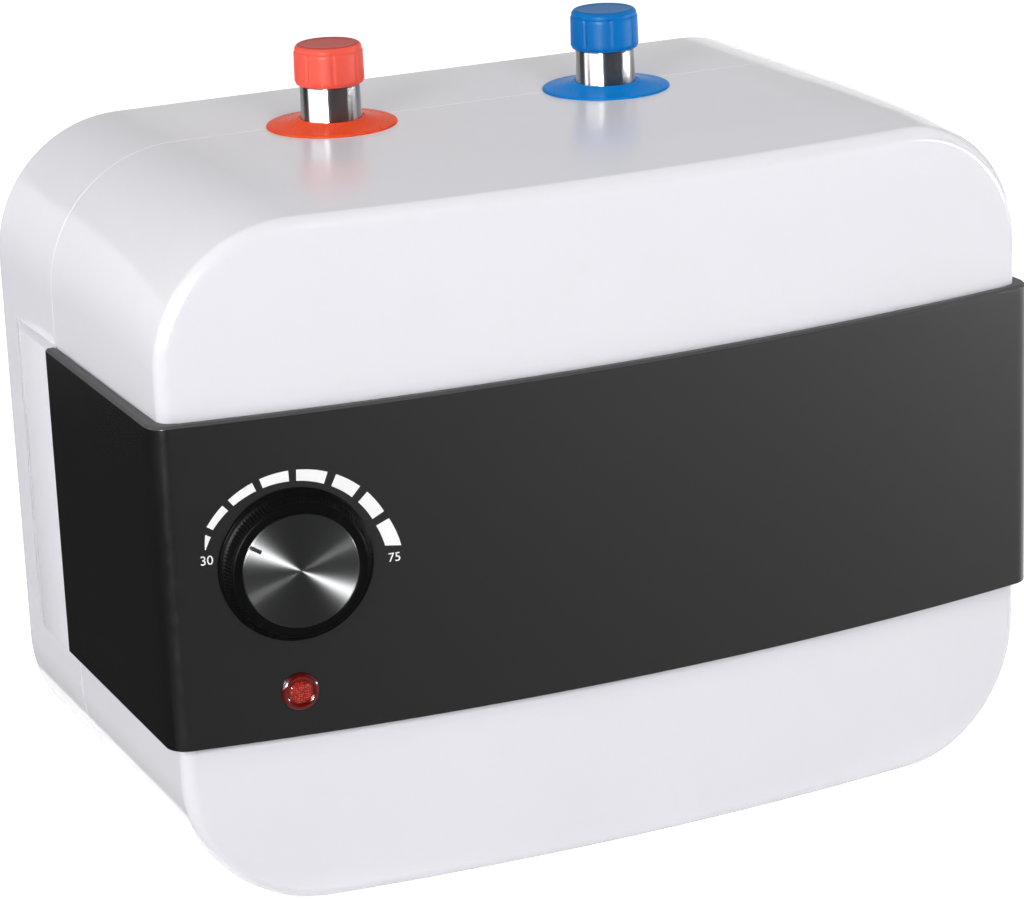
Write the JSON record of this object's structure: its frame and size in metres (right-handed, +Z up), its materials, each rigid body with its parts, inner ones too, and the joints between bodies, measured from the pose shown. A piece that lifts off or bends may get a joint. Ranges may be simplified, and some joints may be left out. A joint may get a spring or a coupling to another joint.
{
  "type": "electric water heater",
  "caption": "Compact wall or sink-side electric storage water heater with a rounded white casing, black wrap-round band, thermostat knob, indicator lamp and capped pipe stubs.",
  "frame": {"origin": "middle of the casing's base, on the surface it stands on", "axes": "+X to the right seen from the front, the front faces -Y, +Z up"},
  "size_m": [0.3402, 0.1946, 0.2768],
  "materials": {
    "casing_white": "semi-gloss",
    "band_black": "satin",
    "knob_black": "satin",
    "spun_metal": "spun",
    "chrome": "polished",
    "hot_red": "gloss",
    "cold_blue": "gloss",
    "lens_red": "translucent",
    "neon_glass": "clear",
    "steel": "zinc plated",
    "tank_steel": "enamel",
    "foam": "rigid foam",
    "natural_plastic": "matte",
    "black_plastic": "matte",
    "black_rubber": "matte",
    "brass": "bare",
    "copper": "bare",
    "magnesium": "cast",
    "live_brown": "insulation",
    "lead_black": "insulation",
    "neutral_blue": "insulation",
    "earth_green": "insulation"
  },
  "bodies": {
    "heater": {"front_shell": "casing_white", "rear_shell": "casing_white", "control_band": "band_black", "hot_pipe": "chrome", "cold_pipe": "chrome", "hot_ring": "hot_red", "cold_ring": "cold_blue", "lamp_lens": "lens_red", "neon_bulb": "neon_glass", "thermostat_screws": "steel", "lamp_clip": "steel", "tank_studs": "steel", "flange_nuts": "steel", "hanging_plate": "steel", "plate_screws": "steel", "case_screws": "steel", "inner_tank": "tank_steel", "foam_front": "foam", "foam_rear": "foam", "dip_tube": "natural_plastic", "thermostat": "natural_plastic", "terminal_block": "natural_plastic", "lamp_holder": "black_plastic", "cord_gland": "black_plastic", "flange_gasket": "black_rubber", "heater_flange": "brass", "thermowell": "brass", "thermal_cutout": "brass", "heating_element": "copper", "sensor_capillary": "copper", "anode_rod": "magnesium", "live_lead": "live_brown", "switched_lead": "lead_black", "element_lead": "lead_black", "element_link": "lead_black", "neutral_lead": "neutral_blue", "earth_lead": "earth_green"},
    "knob": {"thermostat_knob": "knob_black", "knob_disc": "spun_metal", "thermostat_spindle": "steel"},
    "hot_cap_lift": {"hot_cap_seal": "black_rubber"},
    "hot_cap": {"hot_cap": "hot_red"},
    "cold_cap_lift": {"cold_cap_seal": "black_rubber"},
    "cold_cap": {"cold_cap": "cold_blue"}
  },
  "joints": [
    {"name": "knob_turn", "type": "hinge", "parent": "heater", "child": "knob", "pos_m": [-0.1243, -0.09001, 0.1255], "axis": [0.1296, 0.9916, 0], "range_deg": [-15, 142]},
    {"name": "hot_cap_lift", "type": "slide", "parent": "heater", "child": "hot_cap_lift", "axis": [0, 0, 1], "range_m": [0, 0.01089]},
    {"name": "hot_cap_turn", "type": "hinge", "parent": "hot_cap_lift", "child": "hot_cap", "pos_m": [-0.0584, 0.024, 0.27], "axis": [0, 0, 1], "range_deg": [0, 2160]},
    {"name": "cold_cap_lift", "type": "slide", "parent": "heater", "child": "cold_cap_lift", "axis": [0, 0, 1], "range_m": [0, 0.01089]},
    {"name": "cold_cap_turn", "type": "hinge", "parent": "cold_cap_lift", "child": "cold_cap", "pos_m": [0.0516, 0.024, 0.27], "axis": [0, 0, 1], "range_deg": [0, 2160]}
  ],
  "couplings": [
    {"joint": "hot_cap_lift", "follows": "hot_cap_turn", "m_per_rad": 0.00028871},
    {"joint": "cold_cap_lift", "follows": "cold_cap_turn", "m_per_rad": 0.00028871}
  ]
}
